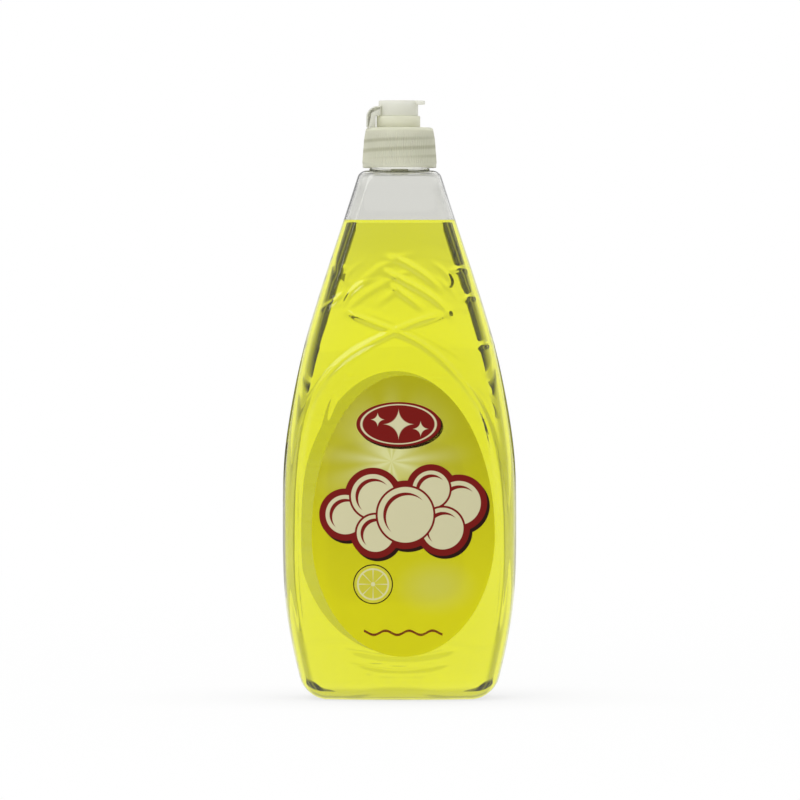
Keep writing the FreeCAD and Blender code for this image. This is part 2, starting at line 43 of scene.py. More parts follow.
# Cross-sections of the bottle: height, half width, half depth, corner radius
LEVELS = np.array((
    (0.0, 41.2, 22.4, 10.0),
    (18.0, 45.6, 24.6, 10.0),
    (40.0, 49.5, 26.1, 10.0),
    (76.0, 50.9, 26.6, 10.0),
    (104.0, 50.2, 26.1, 10.0),
    (128.0, 46.9, 24.7, 9.6),
    (152.0, 41.8, 22.6, 9.2),
    (178.0, 34.2, 19.8, 8.6),
    (204.0, 25.7, 17.0, 8.0),
    (229.5, 17.4, 15.2, 7.4),
))
FRONT_BOW = 150.0
SIDE_BOW = 70.0
WALL = 0.8
HEEL_ROUNDING = 9.0
CROWN_ROUNDING = 2.6
CROWN = 229.5
DOME = (25.0, 9.5, 3.5)
FILL = 207.6
MENISCUS_RISE = 0.5
MENISCUS_REACH = 1.4
# How far the liquid's mesh goes into the wall, so that no air shows between them
LIQUID_OVERLAP = 0.35

# The neck, and the threads on it and in the cap
NECK_RADIUS = 12.55
NECK_BORE = 10.9
NECK_TOP = 246.2
COLLAR_RADIUS = 13.1
PITCH = 4.233
# Both threads: the height of the first turn's middle, and the number of turns
NECK_THREAD = (238.0, 1.5)
CAP_THREAD = (235.88, 1.25)
THREAD_DEPTH = 1.1

# The screw cap, with its spout a little off the middle
SPOUT_X = -0.5
SPOUT_TOP = 257.1
SPOUT_RADIUS = 3.8
SPOUT_BORE = 1.75
SKIRT_FOOT = 230.8
SKIRT_FOOT_RADIUS = 16.1
SKIRT_DRAFT = 0.077
SKIRT_BORE = 14.0
SKIRT_MOUTH = 14.9
DECK = 248.3
DECK_THICKNESS = 1.3
PLINTH_RADIUS = 9.5
PLINTH_BORE = 8.3
PLINTH_TOP = 253.3
PLINTH_CEILING = 252.1
RIBS = 96
RIB_DEPTH = 0.25
RIB_LOW = SKIRT_FOOT + 1.4
RIB_HIGH = SKIRT_FOOT + 12.4

# The lid: its cup, stopper, thumb tab and hinge arm
LID_TOP = 260.0
LID_CEILING = 258.4
LID_RADIUS = 8.6
LID_BORE = 7.6
STOPPER_RADIUS = 1.2
STOPPER_TIP = 255.7
TAB_REACH = 11.6
TAB_HALF_WIDTH = 4.5
TAB_ROUNDING = 2.5
ARM_BACK = -14.45
ARM_FOOT = 248.42
ARM_HALF_WIDTH = 6.0
ARM_ROUNDING = 5.0
ARM_BEND = 252.6
ARM_WALL = 1.0

# The labels: a film shaped like an egg, widest at its waist, a hair off the wall
LABEL_SHIFT = 1.6
LABEL_HALF_WIDTH = 39.6
LABEL_WAIST = 72.0
LABEL_UP = 69.0
LABEL_DOWN = 52.4
LABEL_THICKNESS = 0.2
LABEL_GAP = 0.06
PRINT_MIDDLE = 80.0

# The raised swirls, as lines across and up the front face
SWIRLS = (
    (
        (-25.9, 169.5), (-8.5, 162.4), (8.9, 154.8), (24.2, 141.7), (35.1, 126.5),
        (41.5, 106.0), (44.6, 75.0), (43.8, 46.2), (40.5, 24.0),
    ),
    (
        (23.1, 169.0), (4.6, 163.0), (-10.7, 155.9), (-24.8, 147.2), (-35.7, 134.1),
        (-42.2, 112.4), (-45.0, 75.0), (-44.0, 46.2), (-40.5, 24.0),
    ),
    ((-11.8, 188.6), (-0.9, 183.1), (10.0, 177.2), (17.6, 171.6), (24.5, 163.0)),
    ((-9.6, 192.9), (-0.9, 190.8), (6.7, 186.9), (13.3, 182.0), (19.8, 175.5)),
    ((-7.0, 183.0), (-0.9, 177.9), (5.5, 173.0), (12.2, 167.5)),
    ((-27.7, 22.0), (-14.0, 18.4), (1.0, 17.0), (16.0, 18.4), (29.7, 22.0)),
    ((-24.8, 16.8), (-12.0, 12.8), (1.0, 11.6), (14.0, 12.8), (26.8, 16.8)),
)
# Short folds beside them, some running out over the two corners
FOLDS = (
    ((-8.0, 182.4), (-13.5, 181.8), (-19.0, 178.6), (-23.0, 173.5), (-24.4, 167.5)),
    ((-22.0, 178.4), (-26.5, 174.6), (-31.0, 171.0), (-36.0, 169.0)),
    ((-21.0, 143.5), (-26.0, 136.5), (-30.0, 127.0), (-32.5, 116.0)),
    ((18.5, 184.6), (24.5, 186.6), (33.0, 186.4)),
    ((25.5, 172.4), (30.0, 174.6), (37.0, 174.6)),
    ((31.0, 152.0), (36.0, 154.0), (44.0, 153.7)),
    ((27.6, 151.5), (26.8, 145.0), (29.0, 140.7), (34.0, 136.3), (39.4, 129.8), (43.8, 121.0)),
    ((12.0, 190.5), (19.0, 186.0), (22.0, 181.0), (15.0, 178.8)),
)
# How far the swirls and folds stand up, how wide they are, and how long their ends fade
SWIRL_HEIGHT = 0.54
SWIRL_HALF_WIDTH = 2.5
FOLD_HEIGHT = 0.24
FOLD_HALF_WIDTH = 1.8
FADE = 14.0
# The share of that height on the back
BACK_SHARE = 0.4
# Low on the bottle the lines stand up more, from one height down to another
LOW_SHARE = 1.5
LOW_FROM = 135.0
LOW_TO = 118.0

# Dark flags behind the bottle, out of the picture, in metres: their outline, across and up
FLAG = (
    (0.24, 0.058), (0.16, 0.060), (0.10, 0.072), (0.075, 0.092), (0.058, 0.118), (0.048, 0.143),
    (0.046, 0.160), (0.10, 0.165), (0.20, 0.165), (0.27, 0.155), (0.29, 0.13), (0.25, 0.09),
)
FLAG_BEHIND = 0.6
# A screen behind the flags, in metres
SCREEN_BEHIND = 0.62
SCREEN_HALF_WIDTH = 0.5
SCREEN_FOOT = 0.001
SCREEN_TOP = 0.36
# The levels that bent rays see, where 1 is white: the backdrop low down, higher up, and at the sides
BACKDROP_LOW = 0.68
BACKDROP_HIGH = 0.42
BACKDROP_SIDE = 0.95
# How much the room in front is dimmed, for rays bent through the bottle and for mirrored ones
FRONT_DIM_PASSED = 0.25
FRONT_DIM_FLOOR = 0.65
FRONT_DIM_WORLD = 0.7


# Shapes

def spline(xs, ys, at):
    """A natural cubic curve through the points, read at other places."""
    n = len(xs)
    gaps = np.diff(xs)
    system = np.zeros((n, n))
    right = np.zeros(n)
    system[0, 0] = system[-1, -1] = 1
    for i in range(1, n - 1):
        system[i, i - 1] = gaps[i - 1]
        system[i, i] = 2 * (gaps[i - 1] + gaps[i])
        system[i, i + 1] = gaps[i]
        right[i] = 3 * ((ys[i + 1] - ys[i]) / gaps[i] - (ys[i] - ys[i - 1]) / gaps[i - 1])
    bend = np.linalg.solve(system, right)
    k = np.clip(np.searchsorted(xs, at) - 1, 0, n - 2)
    step = at - xs[k]
    slope = (ys[k + 1] - ys[k]) / gaps[k] - gaps[k] * (2 * bend[k] + bend[k + 1]) / 3
    return ys[k] + slope * step + bend[k] * step ** 2 + (bend[k + 1] - bend[k]) / (3 * gaps[k]) * step ** 3


def girth(z):
    """Half width, half depth and corner radius at a height."""
    z = np.clip(z, LEVELS[0, 0], LEVELS[-1, 0])
    return tuple(float(spline(LEVELS[:, 0], LEVELS[:, i], np.array(z))) for i in (1, 2, 3))


def corner_of(a, b, r):
    """The centre of the corner arc of one quarter, and where its two bows end."""
    side = np.array((a - SIDE_BOW, 0.0))
    front = np.array((0.0, b - FRONT_BOW))
    to_side = SIDE_BOW - r
    to_front = FRONT_BOW - r
    between = front - side
    reach = np.hypot(*between)
    shift = (to_side ** 2 - to_front ** 2 + reach ** 2) / (2 * reach)
    rise = math.sqrt(to_side ** 2 - shift ** 2)
    forward = between / reach
    centre = side + forward * shift + np.array((-forward[1], forward[0])) * rise
    if centre[1] < 0:
        centre = side + forward * shift - np.array((-forward[1], forward[0])) * rise
    side_end = math.atan2(centre[1] - side[1], centre[0] - side[0])
    front_end = math.atan2(centre[1] - front[1], centre[0] - front[0])
    return side, front, centre, side_end, front_end


def cross_section(z, inset, counts):
    """Points around the bottle at a height: side, corner, front or back, corner, and so on."""
    a, b, r = girth(z)
    side, front, centre, side_end, front_end = corner_of(a, b, r)
    n_side, n_corner, n_front = counts
    quarter = []
    for middle, radius, start, stop, count in (
        (side, SIDE_BOW, 0.0, side_end, n_side),
        (centre, r, side_end, front_end, n_corner),
        (front, FRONT_BOW, front_end, math.pi / 2, n_front),
    ):
        turn = np.linspace(start, stop, count, endpoint=False)
        out = np.stack((np.cos(turn), np.sin(turn)), 1)
        quarter.append(middle + out * (radius - inset))
    quarter = np.concatenate(quarter)
    top = np.array(((0.0, b - inset),))
    first = np.concatenate((quarter, top))
    second = quarter[::-1] * (-1, 1)
    half = np.concatenate((first, second))
    return np.concatenate((half[:-1], -half[:-1]))


def rounded_rings(inset, floor, roof, counts, heights, heel, crown):
    """Rings up the wall with a rounded heel and a rounded crown."""
    rings = []
    for turn in np.linspace(0, math.pi / 2, 9, endpoint=False):
        z = floor + heel * (1 - math.cos(turn))
        rings.append((z, cross_section(z, inset + heel * (1 - math.sin(turn)), counts)))
    for z in heights:
        rings.append((z, cross_section(z, inset, counts)))
    for turn in np.linspace(0, math.pi / 2, 7):
        z = roof - crown * (1 - math.sin(turn))
        rings.append((z, cross_section(z, inset + crown * (1 - math.cos(turn)), counts)))
    return rings


def dome_height(points, growth):
    length, width, rise = (size + growth for size in DOME)
    fall = (points[:, 0] / length) ** 2 + (points[:, 1] / width) ** 2
    return rise * np.sqrt(np.clip(1 - fall, 0, None))


def base_rings(edge, floor, growth):
    """Rings from the middle of the base out to its edge, pushed up in the middle."""
    rings = []
    for share in np.linspace(0.04, 0.97, 22):
        points = edge * share
        rings.append(np.column_stack((points, np.maximum(floor, dome_height(points, growth)))))
    return rings


def lifted(points, z):
    return np.column_stack((points, np.full(len(points), z)))


class Mesh:
    """Gathers rings of points, and the faces between them, into one mesh."""

    def __init__(self):
        self.points = []
        self.faces = []

    def add(self, points):
        first = len(self.points)
        self.points.extend(tuple(p) for p in points)
        return first

    def tube(self, rings, close_start=False, close_end=False, flip=False):
        """Quads between rings of equal length; the ends close on a middle point."""
        count = len(rings[0])
        starts = [self.add(ring) for ring in rings]
        faces = []
        for low, high in zip(starts, starts[1:]):
            for i in range(count):
                j = (i + 1) % count
                faces.append((low + i, low + j, high + j, high + i))
        if close_start:
            tip = self.add([np.mean(rings[0], axis=0)])
            faces.extend((tip, starts[0] + (i + 1) % count, starts[0] + i) for i in range(count))
        if close_end:
            tip = self.add([np.mean(rings[-1], axis=0)])
            faces.extend((tip, starts[-1] + i, starts[-1] + (i + 1) % count) for i in range(count))
        if flip:
            faces = [face[::-1] for face in faces]
        self.faces.extend(faces)

    def build(self, name):
        mesh = bpy.data.meshes.new(name)
        mesh.from_pydata([tuple(c * MM for c in p) for p in self.points], [], self.faces)
        mesh.polygons.foreach_set("use_smooth", [True] * len(mesh.polygons))
        mesh.update()
        thing = bpy.data.objects.new(name, mesh)
        bpy.context.scene.collection.objects.link(thing)
        return thing


def lathe(mesh, profile, middle_x, count):
    """Turn a closed profile of radius and height about an upright axis."""
    turns = np.arange(count) * 2 * math.pi / count
    rings = []
    for radius, z in profile + profile[:1]:
        across = middle_x + radius * np.cos(turns)
        rings.append(np.column_stack((across, radius * np.sin(turns), np.full(count, z))))
    mesh.tube(rings)


def arc(centre, radius, start, stop, count):
    """Points of a rounded corner in a profile, angles in degrees."""
    turns = np.radians(np.linspace(start, stop, count))
    return tuple((centre[0] + radius * math.cos(t), centre[1] + radius * math.sin(t)) for t in turns)


def thread(mesh, root, crest, start, turns):
    """A right-hand trapezoid thread that tapers off at both ends."""
    root_half = 1.15
    crest_half = 0.5
    steps = 48
    total = int(turns * steps)
    rings = []
    for i in range(total + 1):
        turn = 2 * math.pi * i / steps
        z = start + PITCH * i / steps
        rise = min(1.0, i / 6, (total - i) / 6)
        tip = root + (crest - root) * max(rise, 0.02)
        profile = ((root, -root_half), (tip, -crest_half), (tip, crest_half), (root, root_half))
        rings.append([(r * math.cos(turn), r * math.sin(turn), z + dz) for r, dz in profile])
    mesh.tube(rings, close_start=True, close_end=True, flip=crest > root)


def swirl_lift(points):
    """How far the raised swirls lift the wall at points of the face."""
    face = np.where(points[:, 1:2] < 0, 1.0, -1.0)[:, 0]
    across = points[:, 0] * face
    lift = np.zeros(len(points))
    ridges = [(line, SWIRL_HEIGHT, SWIRL_HALF_WIDTH) for line in SWIRLS]
    ridges += [(line, FOLD_HEIGHT, FOLD_HALF_WIDTH) for line in FOLDS]
    for line, height, half_width in ridges:
        knots = np.array(line)
        along = np.concatenate(((0,), np.cumsum(np.hypot(*np.diff(knots, axis=0).T))))
        at = np.linspace(0, along[-1], 160)
        path = np.stack([spline(along, knots[:, i], at) for i in (0, 1)], 1)
        near = np.full(len(points), 1e9)
        place = np.zeros(len(points))
        for spot, run in zip(path, at):
            gap = np.hypot(across - spot[0], points[:, 2] - spot[1])
            closer = gap < near
            near[closer] = gap[closer]
            place[closer] = run
        fade = np.clip(np.minimum(place, along[-1] - place) / min(FADE, along[-1] / 2), 0, 1)
        bump = np.cos(np.clip(near / half_width, 0, 1) * math.pi) * 0.5 + 0.5
        lift = np.maximum(lift, height * bump * (0.5 - np.cos(fade * math.pi) * 0.5))
    low = np.clip((LOW_FROM - points[:, 2]) / (LOW_FROM - LOW_TO), 0, 1)
    return lift * np.where(face > 0, 1.0, BACK_SHARE) * (1 + (LOW_SHARE - 1) * low)


# Bottle and liquid

def make_bottle():
    mesh = Mesh()
    fine = (6, 12, 66)
    heights = np.concatenate((
        np.arange(9.5, 26, 1.2), np.arange(26, 100, 2.6), np.arange(100, 140, 1.0),
        np.arange(140, 196, 0.65), np.arange(196, 226, 3.0),
    ))
    wall = rounded_rings(0.0, 0.0, CROWN, fine, heights, HEEL_ROUNDING, CROWN_ROUNDING)
    outer = np.array(base_rings(wall[0][1], 0.0, 0.0) + [lifted(points, z) for z, points in wall])
    # lift the swirls along the wall's own outward direction
    flat = outer.reshape(-1, 3)
    around = np.roll(outer, -1, axis=1) - np.roll(outer, 1, axis=1)
    up = np.gradient(outer, axis=0)
    out = np.cross(around, up).reshape(-1, 3)
    out /= np.maximum(np.linalg.norm(out, axis=1, keepdims=True), 1e-9)
    outer = (flat + out * swirl_lift(flat)[:, None]).reshape(outer.shape)

    crown_ring = wall[-1][1]
    angles = np.arctan2(crown_ring[:, 1], crown_ring[:, 0])
    round_ring = np.stack((np.cos(angles), np.sin(angles)), 1)
    neck = [lifted(round_ring * COLLAR_RADIUS, CROWN)]
    for radius, z in (
        (COLLAR_RADIUS, 230.3), (COLLAR_RADIUS - 0.2, 230.5), (NECK_RADIUS, 230.6), (NECK_RADIUS, 238.0),
        (NECK_RADIUS, 245.7), (NECK_RADIUS - 0.15, 246.0), (NECK_RADIUS - 0.5, NECK_TOP),
        (NECK_BORE + 0.3, NECK_TOP), (NECK_BORE, 245.9), (NECK_BORE, 240.0), (NECK_BORE, 230.0),
        (NECK_BORE + 0.3, 229.2), (NECK_BORE + 1.0, CROWN - WALL),
    ):
        neck.append(lifted(round_ring * radius, z))

    inner_heights = np.concatenate((np.arange(9.5, 222, 11.0), (226.0,)))
    inner = rounded_rings(
        WALL, WALL, CROWN - WALL, fine, inner_heights, HEEL_ROUNDING - WALL, CROWN_ROUNDING - WALL,
    )
    inside = [lifted(points, z) for z, points in inner[::-1]]
    inside += base_rings(inner[0][1], WALL, WALL)[::-1]
    mesh.tube(list(outer) + neck + inside, close_start=True, close_end=True)
    thread(mesh, NECK_RADIUS - 0.1, NECK_RADIUS + THREAD_DEPTH, *NECK_THREAD)
    return mesh.build("bottle_shell")


def make_liquid():
    """The liquid, with its rim drawn up a little at the wall."""
    mesh = Mesh()
    coarse = (7, 10, 34)
    inset = WALL - LIQUID_OVERLAP
    rim = (FILL - 1.0, FILL + MENISCUS_RISE)
    heights = np.concatenate((np.arange(9.5, FILL - 2, 4.0), rim))
    wall = []
    heel = HEEL_ROUNDING - inset
    for turn in np.linspace(0, math.pi / 2, 9, endpoint=False):
        z = inset + heel * (1 - math.cos(turn))
        wall.append((z, cross_section(z, inset + heel * (1 - math.sin(turn)), coarse)))
    for z in heights:
        wall.append((z, cross_section(z, inset, coarse)))
    rings = base_rings(wall[0][1], inset, inset) + [lifted(points, z) for z, points in wall]
    for inward in (0.35, 0.5, 0.7, 0.95, 1.25, 1.6, 2.1, 2.8, 3.8, 5.2, 7.5):
        rise = MENISCUS_RISE * math.exp((LIQUID_OVERLAP - inward) / MENISCUS_REACH)
        last = cross_section(FILL, inset + inward, coarse)
        rings.append(lifted(last, FILL + rise))
    for share in (0.7, 0.35, 0.1):
        rings.append(lifted(last * share, FILL))
    mesh.tube(rings, close_start=True, close_end=True)
    return mesh.build("liquid")


# Labels

def face_depth(x, z, inset):
    """How far in front of the middle the face stands at a point across and up it."""
    a, b, r = girth(z)
    _, front, centre, _, front_end = corner_of(a, b, r)
    x = abs(x)
    if x <= FRONT_BOW * math.cos(front_end):
        return front[1] + math.sqrt((FRONT_BOW - inset) ** 2 - x ** 2)
    return centre[1] + math.sqrt(max((r - inset) ** 2 - (x - centre[0]) ** 2, 0.0))


def make_label(name, facing):
    """A thin egg-shaped film on the front (facing -1) or on the back (facing 1)."""
    mesh = Mesh()

    def skin(offset, share, turn):
        reach = LABEL_UP if math.sin(turn) > 0 else LABEL_DOWN
        x = LABEL_SHIFT + LABEL_HALF_WIDTH * share * math.cos(turn)
        z = LABEL_WAIST + reach * share * math.sin(turn)
        return (-x * facing, facing * face_depth(x, z, -offset), z)

    turns = np.linspace(0, 2 * math.pi, 180, endpoint=False)
    shares = np.sin(np.linspace(0.03, math.pi / 2, 30))
    outer = [[skin(LABEL_GAP + LABEL_THICKNESS, share, turn) for turn in turns] for share in shares]
    rim = [[skin(LABEL_GAP + LABEL_THICKNESS / 2, 1.0, turn) for turn in turns]]
    inner = [[skin(LABEL_GAP, share, turn) for turn in turns] for share in shares[::-1]]
    mesh.tube(outer + rim + inner, close_start=True, close_end=True, flip=facing < 0)
    return mesh.build(name)


# Screw cap and lid

def make_cap():
    mesh = Mesh()
    foot = SKIRT_FOOT
    top_radius = SKIRT_FOOT_RADIUS - SKIRT_DRAFT * (DECK - foot)
    underside = DECK - DECK_THICKNESS
    # the skirt's closed profile: a rounded rim, the ribbed band, the foot, the bore and the deck
    rim = arc((top_radius - 1.5, DECK - 1.5), 1.5, 90, 5, 8)
    band = []
    for z in np.linspace(RIB_HIGH, RIB_LOW, 14):
        band.append((SKIRT_FOOT_RADIUS - SKIRT_DRAFT * (z - foot), z))
    skirt = rim + tuple(band) + (
        (SKIRT_FOOT_RADIUS - 0.05, foot + 0.4), (SKIRT_FOOT_RADIUS - 0.3, foot),
        (SKIRT_MOUTH + 0.2, foot), (SKIRT_MOUTH, foot + 0.2), (SKIRT_MOUTH, foot + 1.9),
        (SKIRT_BORE, foot + 2.8), (SKIRT_BORE, underside),
        (PLINTH_BORE + 0.3, underside), (PLINTH_BORE + 0.3, DECK),
    )
    count = RIBS * 6
    turns = np.arange(count) * 2 * math.pi / count
    ribbing = np.tile((0.0, 0.0, 1.0, 1.0, 0.0, 0.0), RIBS) * RIB_DEPTH
    rings = []
    for radius, z in skirt + skirt[:1]:
        ribbed = RIB_LOW < z < RIB_HIGH + 0.01 and radius > SKIRT_MOUTH + 0.2
        reach = radius + (ribbing if ribbed else 0.0)
        rings.append(np.column_stack((np.cos(turns) * reach, np.sin(turns) * reach, np.full(count, z))))
    mesh.tube(rings, flip=True)
    # the plinth and the spout on it, also closed
    spout = (
        (PLINTH_BORE, underside + 0.1), (PLINTH_RADIUS, DECK - 0.1), (PLINTH_RADIUS, PLINTH_TOP - 0.3),
        (PLINTH_RADIUS - 0.3, PLINTH_TOP), (SPOUT_RADIUS + 0.4, PLINTH_TOP),
        (SPOUT_RADIUS, SPOUT_TOP - 0.3), (SPOUT_RADIUS - 0.3, SPOUT_TOP), (SPOUT_BORE + 0.65, SPOUT_TOP),
        (SPOUT_BORE, SPOUT_TOP - 0.8), (SPOUT_BORE, PLINTH_CEILING), (PLINTH_BORE, PLINTH_CEILING),
    )
    lathe(mesh, spout[::-1], SPOUT_X, 96)
    thread(mesh, SKIRT_BORE + 0.05, SKIRT_BORE - THREAD_DEPTH, *CAP_THREAD)
    return mesh.build("screw_cap")


def rounded_slab(mesh, outline, low, high, along, bevel):
    """An outline pushed along an axis, with small bevels at its two ends."""
    outline = np.array(outline)
    inward = outline.mean(axis=0) - outline
    reach = np.maximum(np.linalg.norm(inward, axis=1, keepdims=True), 1e-6)
    inner = outline + inward * bevel / reach
    rings = []
    for ring, place in ((inner, low), (outline, low + bevel), (outline, high - bevel), (inner, high)):
        if along == "y":
            rings.append([(x, place, z) for x, z in ring])
        else:
            rings.append([(x, y, place) for x, y in ring])
    mesh.tube(rings, close_start=True, close_end=True, flip=along == "y")


def add_thumb_tab(mesh):
    root = SPOUT_X + 6.0
    middle = SPOUT_X + TAB_REACH - TAB_ROUNDING
    side = TAB_HALF_WIDTH - TAB_ROUNDING
    outline = [(root, -TAB_HALF_WIDTH)]
    outline += arc((middle, -side), TAB_ROUNDING, -90, 0, 8)
    outline += arc((middle, side), TAB_ROUNDING, 0, 90, 8)
    outline += [(root, TAB_HALF_WIDTH)]
    rounded_slab(mesh, outline, LID_CEILING - 0.1, LID_TOP - 0.02, "z", 0.3)


def add_hinge_arm(mesh):
    """The arm from the lid down to the hinge: a bent leaf between two cheeks, hollow inside."""
    centre = (ARM_BACK + ARM_ROUNDING, ARM_BEND)
    top = ARM_BEND + ARM_ROUNDING
    front = -10.4
    leaf = [(ARM_BACK + 0.35, ARM_FOOT), (ARM_BACK, ARM_FOOT + 0.38)]
    leaf += arc(centre, ARM_ROUNDING, 180, 90, 10)
    leaf += [(-8.0, top), (-8.0, top - ARM_WALL)]
    leaf += arc(centre, ARM_ROUNDING - ARM_WALL, 90, 180, 10)
    leaf += [(ARM_BACK + ARM_WALL, ARM_FOOT + 0.03)]
    rounded_slab(mesh, leaf, -ARM_HALF_WIDTH, ARM_HALF_WIDTH, "y", 0.25)
    cheek = [(ARM_BACK + 0.6, ARM_FOOT + 0.28), (ARM_BACK + 0.6, ARM_BEND)]
    cheek += arc(centre, ARM_ROUNDING - 0.4, 175, 90, 8)
    cheek += [(-8.2, top - 0.4), (-8.2, PLINTH_TOP + 0.1)]
    cheek += [(front, PLINTH_TOP + 0.1), (front, ARM_FOOT + 0.08)]
    for low in (-ARM_HALF_WIDTH, ARM_HALF_WIDTH - ARM_WALL):
        rounded_slab(mesh, cheek, low, low + ARM_WALL, "y", 0.1)


def make_lid():
    mesh = Mesh()
    cup = arc((LID_RADIUS - 0.4, LID_TOP - 0.4), 0.4, 90, 0, 5) + (
        (LID_RADIUS, PLINTH_TOP + 0.15), (LID_RADIUS - 0.1, PLINTH_TOP + 0.02),
        (LID_BORE + 0.1, PLINTH_TOP + 0.02), (LID_BORE, PLINTH_TOP + 0.2),
        (LID_BORE, LID_CEILING - 0.2), (LID_BORE - 0.2, LID_CEILING), (STOPPER_RADIUS + 1.0, LID_CEILING),
        (STOPPER_RADIUS, STOPPER_TIP + 0.2), (STOPPER_RADIUS - 0.2, STOPPER_TIP),
        (0.01, STOPPER_TIP), (0.01, LID_TOP),
    )
    lathe(mesh, cup[::-1], SPOUT_X, 128)
    add_thumb_tab(mesh)
    add_hinge_arm(mesh)
    return mesh.build("flip_top")


def make_seal():
    mesh = Mesh()
    low = NECK_TOP + 0.02
    high = DECK - DECK_THICKNESS - 0.02
    lathe(mesh, ((9.6, low), (9.6, high), (13.4, high), (13.4, low)), 0.0, 96)
    return mesh.build("seal_ring")


# Materials

class Shade:
    """A number in a node tree, so that a pattern reads as a sum."""

    def __init__(self, tree, socket):
        self.tree = tree
        self.socket = socket

    def _do(self, operation, other=None, third=None):
        node = self.tree.nodes.new("ShaderNodeMath")
        node.operation = operation
        for slot, thing in zip(node.inputs, (self, other, third)):
            if isinstance(thing, Shade):
                self.tree.links.new(thing.socket, slot)
            elif thing is not None:
                slot.default_value = thing
        return Shade(self.tree, node.outputs[0])

    def __add__(self, other):
        return self._do("ADD", other)

    def __sub__(self, other):
        return self._do("SUBTRACT", other)

    def __mul__(self, other):
        return self._do("MULTIPLY", other)

    def __truediv__(self, other):
        return self._do("DIVIDE", other)

    def power(self, other):
        return self._do("POWER", other)

    def sine(self):
        return self._do("SINE")

    def size(self):
        return self._do("ABSOLUTE")

    def root(self):
        return self._do("SQRT")

    def least(self, other):
        return self._do("MINIMUM", other)

    def most(self, other):
        return self._do("MAXIMUM", other)

    def angle(self, other):
        return self._do("ARCTAN2", other)

    def wrap(self, low, high):
        return self._do("WRAP", high, low)

    def below(self, edge, soft):
        """1 where this is below the edge, 0 above it, with a soft step."""
        node = self.tree.nodes.new("ShaderNodeMapRange")
        node.interpolation_type = "SMOOTHSTEP"
        self.tree.links.new(self.socket, node.inputs[0])
        for i, setting in enumerate((edge - soft, edge + soft, 1.0, 0.0)):
            node.inputs[i + 1].default_value = setting
        return Shade(self.tree, node.outputs[0])


class Look:
    """A material under construction, with short names for its usual nodes."""

    def __init__(self, name):
        self.material = bpy.data.materials.new(name)
        self.material.use_nodes = True
        self.tree = self.material.node_tree
        self.tree.nodes.clear()
        self.output = self.add("ShaderNodeOutputMaterial")

    def add(self, kind, **inputs):
        node = self.tree.nodes.new(kind)
        for name, setting in inputs.items():
            self.put(node.inputs[name.replace("_", " ")], setting)
        return node

    def put(self, socket, setting):
        if isinstance(setting, Shade):
            setting = setting.socket
        if isinstance(setting, bpy.types.NodeSocket):
            self.tree.links.new(setting, socket)
        else:
            socket.default_value = setting

    def place(self):
        """The point across, along and up the piece, in millimetres."""
        split = self.add("ShaderNodeSeparateXYZ")
        self.put(split.inputs[0], self.add("ShaderNodeTexCoord").outputs["Object"])
        return tuple(Shade(self.tree, out) * 1000.0 for out in split.outputs)

    def noise(self, scale, detail):
        node = self.add("ShaderNodeTexNoise", Scale=scale, Detail=detail, Roughness=0.5)
        self.put(node.inputs["Vector"], self.add("ShaderNodeTexCoord").outputs["Object"])
        return Shade(self.tree, node.outputs["Fac"])

    def mix(self, factor, first, second):
        """Two colours mixed; the numbers are the mix node's own colour sockets."""
        node = self.add("ShaderNodeMix")
        node.data_type = "RGBA"
        self.put(node.inputs[0], factor)
        self.put(node.inputs[6], first)
        self.put(node.inputs[7], second)
        return node.outputs[2]

    def blend(self, factor, first, second):
        node = self.add("ShaderNodeMixShader")
        self.put(node.inputs[0], factor)
        self.put(node.inputs[1], first)
        self.put(node.inputs[2], second)
        return node.outputs[0]

    def bump(self, height, strength, distance):
        node = self.add("ShaderNodeBump", Strength=strength, Distance=distance)
        self.put(node.inputs["Height"], height)
        return node.outputs[0]

    def done(self, surface, volume=None):
        self.put(self.output.inputs["Surface"], surface)
        if volume is not None:
            self.put(self.output.inputs["Volume"], volume)
        return self.material


def colour(red, green, blue):
    """A colour written as it looks, in parts of 255."""
    def linear(part):
        part /= 255
        return part / 12.92 if part <= 0.04045 else ((part + 0.055) / 1.055) ** 2.4
    return (linear(red), linear(green), linear(blue), 1.0)


def clear_plastic():
    look = Look("clear_plastic")
    ripple = look.noise(38.0, 1.0)
    shader = look.add(
        "ShaderNodeBsdfPrincipled",
        Base_Color=(0.985, 0.985, 0.955, 1.0),
        Roughness=0.015,
        IOR=1.5,
        Transmission_Weight=1.0,
        Normal=look.bump(ripple, 0.25, 0.0012),
    )
    return look.done(shader.outputs[0])


def yellow_liquid():
    look = Look("yellow_liquid")
    swirl = look.noise(14.0, 1.0)
    shader = look.add(
        "ShaderNodeBsdfPrincipled",
        Base_Color=(1.0, 1.0, 1.0, 1.0),
        Roughness=0.0,
        IOR=1.36,
        Transmission_Weight=1.0,
        Normal=look.bump(swirl, 0.04, 0.001),
    )
    volume = look.add("ShaderNodeVolumeAbsorption", Color=(0.990, 0.991, 0.25, 1.0), Density=115.0)
    return look.done(shader.outputs[0], volume.outputs[0])


def cloudy(look, cloud, base, see_through):
    """Cloudy unpigmented plastic: light soaks into it, and a little passes straight through."""
    skin = look.add(
        "ShaderNodeBsdfPrincipled",
        Base_Color=base,
        Roughness=0.3,
        IOR=1.49,
        Normal=look.bump(cloud, 0.08, 0.0004),
    )
    soak = look.add("ShaderNodeBsdfTranslucent", Color=base)
    clear = look.add("ShaderNodeBsdfTransparent", Color=(0.97, 0.97, 0.93, 1.0))
    milky = look.blend(0.45, skin.outputs[0], soak.outputs[0])
    return look.done(look.blend(see_through, milky, clear.outputs[0]))


def lid_plastic():
    look = Look("lid_plastic")
    cloud = look.noise(120.0, 3.0)
    return cloudy(look, cloud, look.mix(cloud, *LID_TINTS), 0.24)


